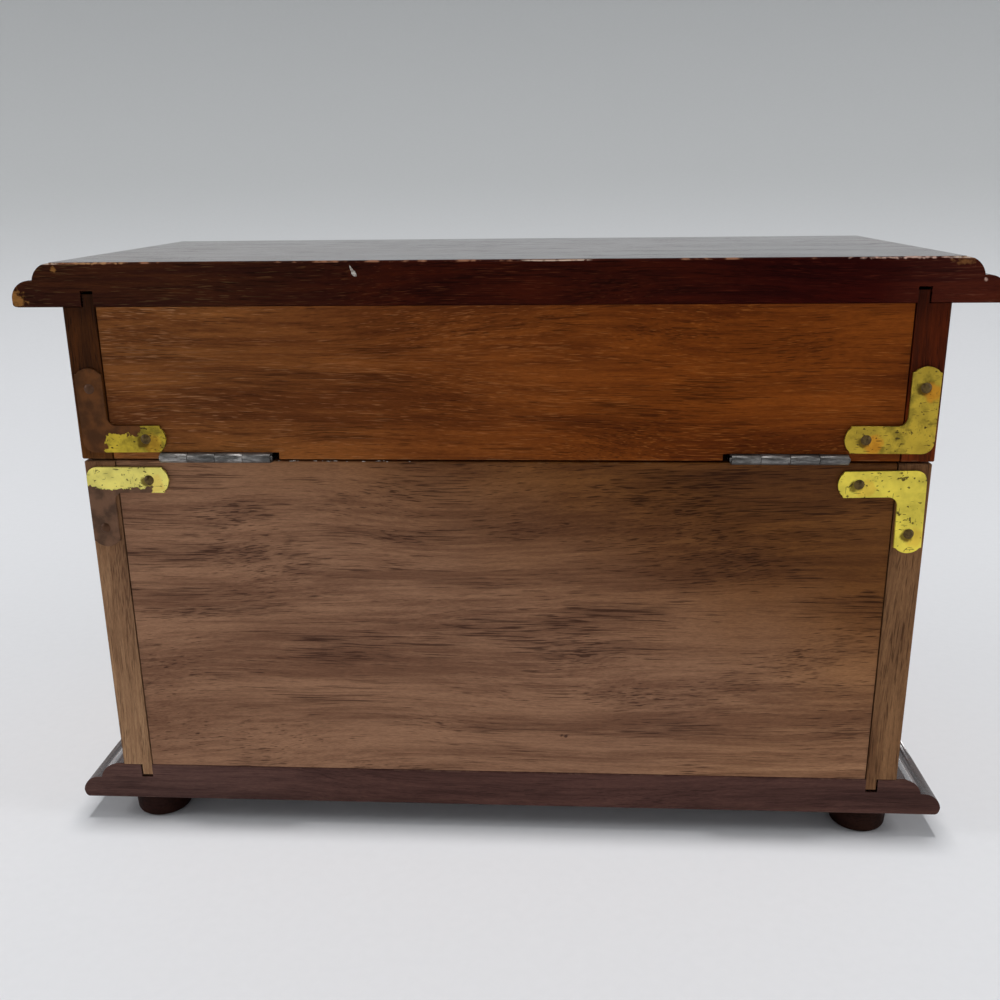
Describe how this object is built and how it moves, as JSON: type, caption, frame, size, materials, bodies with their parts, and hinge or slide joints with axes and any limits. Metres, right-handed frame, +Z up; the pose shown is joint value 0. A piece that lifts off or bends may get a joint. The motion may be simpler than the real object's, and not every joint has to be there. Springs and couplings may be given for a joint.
{
  "type": "hinged lid box",
  "caption": "Wooden keepsake box with a hinged lid, moulded top and base boards, turned feet, brass corner plates and a small front hook.",
  "frame": {"origin": "on the floor, under the middle of the bounding box", "axes": "+X is the object's right as seen from its front and the longest side, the front faces -Y and the hinges are at +Y, +Z is up"},
  "size_m": [0.2126, 0.0952, 0.1384],
  "materials": {
    "top_wood": "lacquered mahogany brown, glossy on top",
    "base_wood": "dark purple brown, satin",
    "lid_wood": "glossy reddish brown with open pores",
    "lid_side_wood": "glossy dark red brown, upright grain",
    "case_wood": "satin mid brown with dark pores",
    "case_side_wood": "satin tan brown, upright grain",
    "foot_wood": "dark brown, satin",
    "brass": "worn, partly tarnished",
    "pin_brass": "dark tarnished",
    "hinge_steel": "dull grey",
    "felt": "dark red felt"
  },
  "bodies": {
    "case": {"base_board": "base_wood", "case_front_board": "case_wood", "case_back_board": "case_wood", "floor_felt": "felt", "hook_washer": "brass", "hook_screw": "brass", "case_side_left": "case_side_wood", "hinge_pin_left": "hinge_steel", "foot_front_left": "foot_wood", "foot_back_left": "foot_wood", "case_side_right": "case_side_wood", "hinge_pin_right": "hinge_steel", "foot_front_right": "foot_wood", "foot_back_right": "foot_wood", "case_hinge_screws": "hinge_steel", "case_plate_pins": "pin_brass", "case_hinge_leaf_left": "hinge_steel", "case_hinge_leaf_right": "hinge_steel", "case_plate_back_left": "brass", "case_plate_back_right": "brass", "case_plate_front_left": "brass", "case_plate_front_right": "brass"},
    "lid": {"lid_top_board": "top_wood", "lid_front_board": "lid_wood", "lid_back_board": "lid_wood", "lid_side_left": "lid_side_wood", "lid_side_right": "lid_side_wood", "lid_hinge_screws": "hinge_steel", "lid_plate_pins": "pin_brass", "lid_hinge_leaf_left": "hinge_steel", "lid_hinge_leaf_right": "hinge_steel", "lid_plate_back_left": "brass", "lid_plate_back_right": "brass", "lid_plate_front_left": "brass", "lid_plate_front_right": "brass", "hook_stud": "brass"},
    "hook": {"front_hook": "brass"}
  },
  "joints": [
    {"name": "lid_hinge", "type": "hinge", "parent": "case", "child": "lid", "pos_m": [0, 0.04648, 0.09505], "axis": [-1, 0, 0], "range_deg": [0, 165]},
    {"name": "hook_pivot", "type": "hinge", "parent": "case", "child": "hook", "pos_m": [0, -0.03642, 0.0821], "axis": [0, -1, 0], "range_deg": [-160, 180]}
  ]
}
